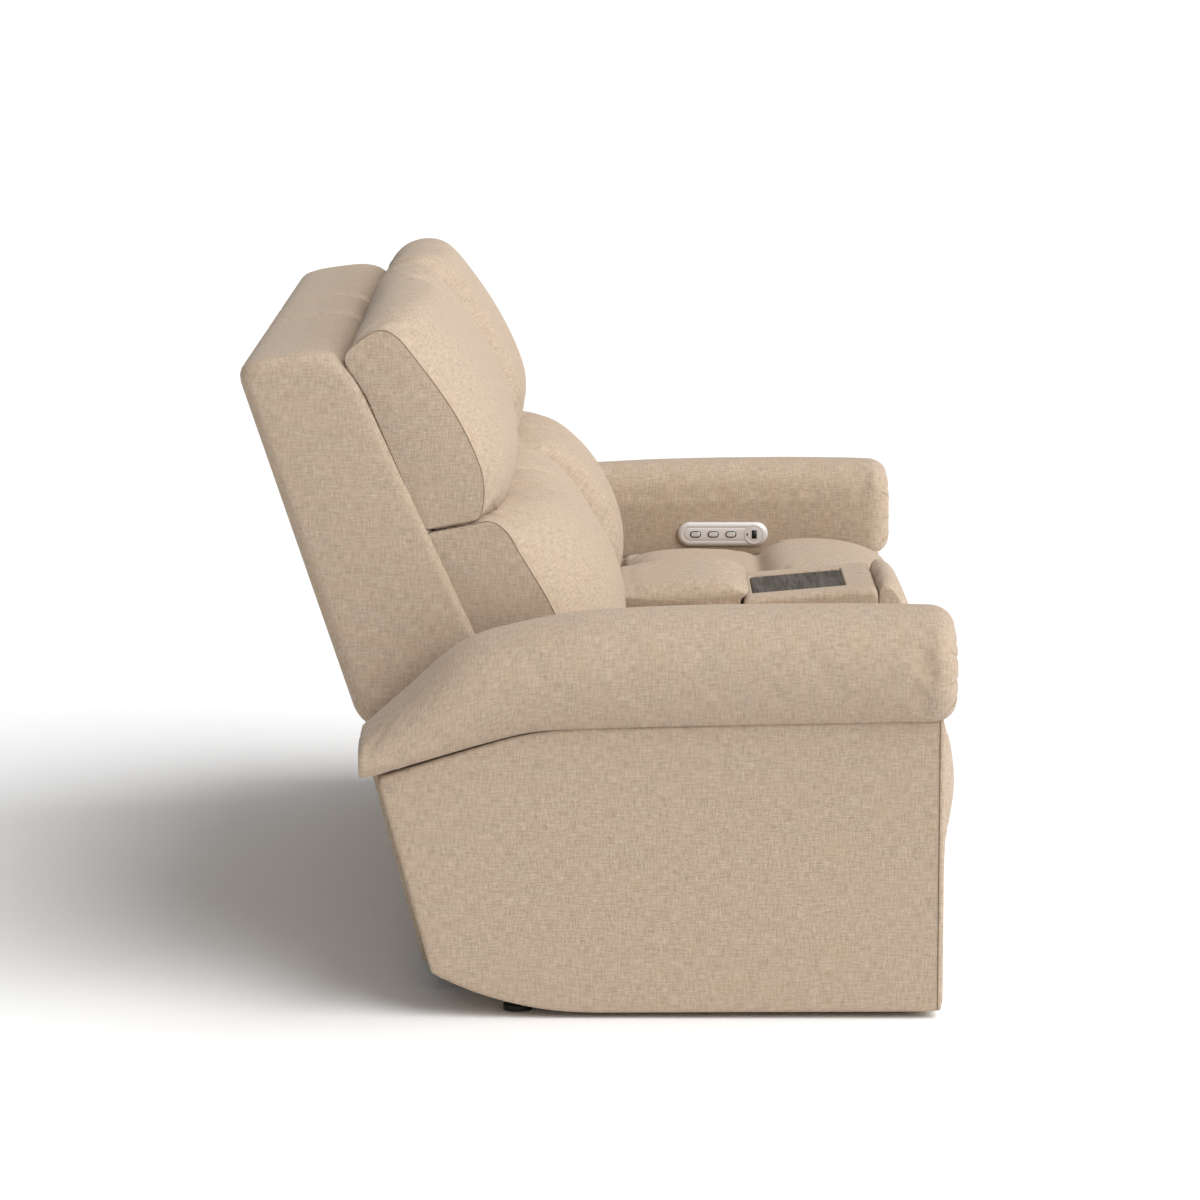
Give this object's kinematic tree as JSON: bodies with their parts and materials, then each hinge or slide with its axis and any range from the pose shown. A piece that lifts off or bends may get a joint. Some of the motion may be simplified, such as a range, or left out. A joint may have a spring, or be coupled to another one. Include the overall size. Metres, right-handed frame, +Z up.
{
  "type": "power reclining loveseat",
  "caption": "Upholstered reclining loveseat with a padded storage console, pillow-top arms, powered headrests and lumbar, and footrests that swing out on links.",
  "frame": {"origin": "on the floor under the middle of the outline", "axes": "+X along the width, the front faces -Y, +Z up"},
  "size_m": [1.901, 1.0528, 1.0141],
  "materials": {
    "upholstery": "woven",
    "timber": "raw",
    "steel": "satin",
    "black_plastic": "matte",
    "tray_wood": "satin",
    "pod_plastic": "satin",
    "rocker_plastic": "gloss"
  },
  "bodies": {
    "base": {"base_rails": "timber", "glides": "black_plastic", "slide_rails": "steel", "rear_panel": "upholstery", "left_arm_body": "upholstery", "left_arm_pad": "upholstery", "right_arm_body": "upholstery", "right_arm_pad": "upholstery", "left_control_pod": "pod_plastic", "right_control_pod": "pod_plastic", "usb_ports": "black_plastic", "console_body": "upholstery", "tray": "tray_wood", "lid_hinge": "steel", "console_cap": "upholstery", "power_supply": "black_plastic", "console_back": "upholstery", "console_head_pad": "upholstery", "console_lumbar_pad": "upholstery"},
    "lid": {"console_lid": "upholstery"},
    "left_carriage": {"left_carriage_frame": "steel", "left_seat_frame": "timber", "left_seat_cushion": "upholstery", "left_recline_motor": "black_plastic"},
    "left_back": {"left_back_shell": "upholstery", "left_back_brackets": "steel", "left_lumbar_cushion": "upholstery"},
    "left_headrest": {"left_headrest_frame": "steel", "left_headrest_pillow": "upholstery"},
    "left_lumbar": {"left_lumbar_paddle": "steel"},
    "left_nut": {"left_drive_nut": "steel"},
    "left_lift": {"left_lift_links": "steel"},
    "left_guide": {"left_guide_links": "steel"},
    "left_elbow": {"left_elbow_plates": "steel"},
    "left_reach": {"left_reach_links": "steel"},
    "left_footrest": {"left_footrest_board": "timber", "left_footrest_pad": "upholstery"},
    "left_recline_rocker": {"left_recline_rocker": "rocker_plastic"},
    "left_headrest_rocker": {"left_headrest_rocker": "rocker_plastic"},
    "left_lumbar_rocker": {"left_lumbar_rocker": "rocker_plastic"},
    "right_carriage": {"right_carriage_frame": "steel", "right_seat_frame": "timber", "right_seat_cushion": "upholstery", "right_recline_motor": "black_plastic"},
    "right_back": {"right_back_shell": "upholstery", "right_back_brackets": "steel", "right_lumbar_cushion": "upholstery"},
    "right_headrest": {"right_headrest_frame": "steel", "right_headrest_pillow": "upholstery"},
    "right_lumbar": {"right_lumbar_paddle": "steel"},
    "right_nut": {"right_drive_nut": "steel"},
    "right_lift": {"right_lift_links": "steel"},
    "right_guide": {"right_guide_links": "steel"},
    "right_elbow": {"right_elbow_plates": "steel"},
    "right_reach": {"right_reach_links": "steel"},
    "right_footrest": {"right_footrest_board": "timber", "right_footrest_pad": "upholstery"},
    "right_recline_rocker": {"right_recline_rocker": "rocker_plastic"},
    "right_headrest_rocker": {"right_headrest_rocker": "rocker_plastic"},
    "right_lumbar_rocker": {"right_lumbar_rocker": "rocker_plastic"}
  },
  "joints": [
    {"name": "left_glide", "type": "slide", "parent": "base", "child": "left_carriage", "axis": [0, -1, 0], "range_m": [0, 0.13]},
    {"name": "left_recline", "type": "hinge", "parent": "left_carriage", "child": "left_back", "pos_m": [-0.449, 0.246, 0.33], "axis": [-1, 0, 0], "range_deg": [0, 32]},
    {"name": "left_lift", "type": "hinge", "parent": "left_carriage", "child": "left_lift", "pos_m": [-0.449, -0.394, 0.342], "axis": [-1, 0, 0], "range_deg": [0, 65]},
    {"name": "left_guide", "type": "hinge", "parent": "left_carriage", "child": "left_guide", "pos_m": [-0.449, -0.369, 0.319], "axis": [-1, 0, 0], "range_deg": [0, 65]},
    {"name": "left_elbow", "type": "hinge", "parent": "left_lift", "child": "left_elbow", "pos_m": [-0.449, -0.42005, 0.19428], "axis": [-1, 0, 0], "range_deg": [-65, 0]},
    {"name": "left_reach", "type": "hinge", "parent": "left_lift", "child": "left_reach", "pos_m": [-0.449, -0.42005, 0.19428], "axis": [-1, 0, 0], "range_deg": [-120, 0]},
    {"name": "left_footrest", "type": "hinge", "parent": "left_reach", "child": "left_footrest", "pos_m": [-0.449, -0.44609, 0.342], "axis": [-1, 0, 0], "range_deg": [0, 145]},
    {"name": "left_drive", "type": "slide", "parent": "left_carriage", "child": "left_nut", "axis": [0, -1, 0], "range_m": [0, 0.06663]},
    {"name": "left_headrest_tilt", "type": "hinge", "parent": "left_back", "child": "left_headrest", "pos_m": [-0.449, 0.166, 0.701], "axis": [1, 0, 0], "range_deg": [0, 35]},
    {"name": "left_lumbar_push", "type": "slide", "parent": "left_back", "child": "left_lumbar", "axis": [0, -1, 0], "range_m": [0, 0.03]},
    {"name": "left_recline_rock", "type": "hinge", "parent": "base", "child": "left_recline_rocker", "pos_m": [-0.748, -0.222, 0.466], "axis": [0, 0, 1], "range_deg": [-6, 6], "stiffness_Nm_per_rad": 0.05},
    {"name": "left_headrest_rock", "type": "hinge", "parent": "base", "child": "left_headrest_rocker", "pos_m": [-0.748, -0.191, 0.466], "axis": [0, 0, 1], "range_deg": [-6, 6], "stiffness_Nm_per_rad": 0.05},
    {"name": "left_lumbar_rock", "type": "hinge", "parent": "base", "child": "left_lumbar_rocker", "pos_m": [-0.748, -0.16, 0.466], "axis": [0, 0, 1], "range_deg": [-6, 6], "stiffness_Nm_per_rad": 0.05},
    {"name": "right_glide", "type": "slide", "parent": "base", "child": "right_carriage", "axis": [0, -1, 0], "range_m": [0, 0.13]},
    {"name": "right_recline", "type": "hinge", "parent": "right_carriage", "child": "right_back", "pos_m": [0.449, 0.246, 0.33], "axis": [-1, 0, 0], "range_deg": [0, 32]},
    {"name": "right_lift", "type": "hinge", "parent": "right_carriage", "child": "right_lift", "pos_m": [0.449, -0.394, 0.342], "axis": [-1, 0, 0], "range_deg": [0, 65]},
    {"name": "right_guide", "type": "hinge", "parent": "right_carriage", "child": "right_guide", "pos_m": [0.449, -0.369, 0.319], "axis": [-1, 0, 0], "range_deg": [0, 65]},
    {"name": "right_elbow", "type": "hinge", "parent": "right_lift", "child": "right_elbow", "pos_m": [0.449, -0.42005, 0.19428], "axis": [-1, 0, 0], "range_deg": [-65, 0]},
    {"name": "right_reach", "type": "hinge", "parent": "right_lift", "child": "right_reach", "pos_m": [0.449, -0.42005, 0.19428], "axis": [-1, 0, 0], "range_deg": [-120, 0]},
    {"name": "right_footrest", "type": "hinge", "parent": "right_reach", "child": "right_footrest", "pos_m": [0.449, -0.44609, 0.342], "axis": [-1, 0, 0], "range_deg": [0, 145]},
    {"name": "right_drive", "type": "slide", "parent": "right_carriage", "child": "right_nut", "axis": [0, -1, 0], "range_m": [0, 0.06663]},
    {"name": "right_headrest_tilt", "type": "hinge", "parent": "right_back", "child": "right_headrest", "pos_m": [0.449, 0.166, 0.701], "axis": [1, 0, 0], "range_deg": [0, 35]},
    {"name": "right_lumbar_push", "type": "slide", "parent": "right_back", "child": "right_lumbar", "axis": [0, -1, 0], "range_m": [0, 0.03]},
    {"name": "right_recline_rock", "type": "hinge", "parent": "base", "child": "right_recline_rocker", "pos_m": [0.748, -0.222, 0.466], "axis": [0, 0, 1], "range_deg": [-6, 6], "stiffness_Nm_per_rad": 0.05},
    {"name": "right_headrest_rock", "type": "hinge", "parent": "base", "child": "right_headrest_rocker", "pos_m": [0.748, -0.191, 0.466], "axis": [0, 0, 1], "range_deg": [-6, 6], "stiffness_Nm_per_rad": 0.05},
    {"name": "right_lumbar_rock", "type": "hinge", "parent": "base", "child": "right_lumbar_rocker", "pos_m": [0.748, -0.16, 0.466], "axis": [0, 0, 1], "range_deg": [-6, 6], "stiffness_Nm_per_rad": 0.05},
    {"name": "lid_lift", "type": "hinge", "parent": "base", "child": "lid", "pos_m": [0, -0.036, 0.482], "axis": [-1, 0, 0], "range_deg": [0, 75]}
  ],
  "couplings": [
    {"joint": "left_glide", "follows": "left_recline", "m_per_rad": 0.23276},
    {"joint": "left_lift", "follows": "left_recline", "ratio": 2.0312},
    {"joint": "left_guide", "follows": "left_recline", "ratio": 2.0312},
    {"joint": "left_elbow", "follows": "left_recline", "ratio": -2.0312},
    {"joint": "left_reach", "follows": "left_recline", "ratio": -3.75},
    {"joint": "left_footrest", "follows": "left_recline", "ratio": 4.5312},
    {"joint": "left_drive", "follows": "left_recline", "m_per_rad": 0.11929},
    {"joint": "right_glide", "follows": "right_recline", "m_per_rad": 0.23276},
    {"joint": "right_lift", "follows": "right_recline", "ratio": 2.0312},
    {"joint": "right_guide", "follows": "right_recline", "ratio": 2.0312},
    {"joint": "right_elbow", "follows": "right_recline", "ratio": -2.0312},
    {"joint": "right_reach", "follows": "right_recline", "ratio": -3.75},
    {"joint": "right_footrest", "follows": "right_recline", "ratio": 4.5312},
    {"joint": "right_drive", "follows": "right_recline", "m_per_rad": 0.11929}
  ]
}
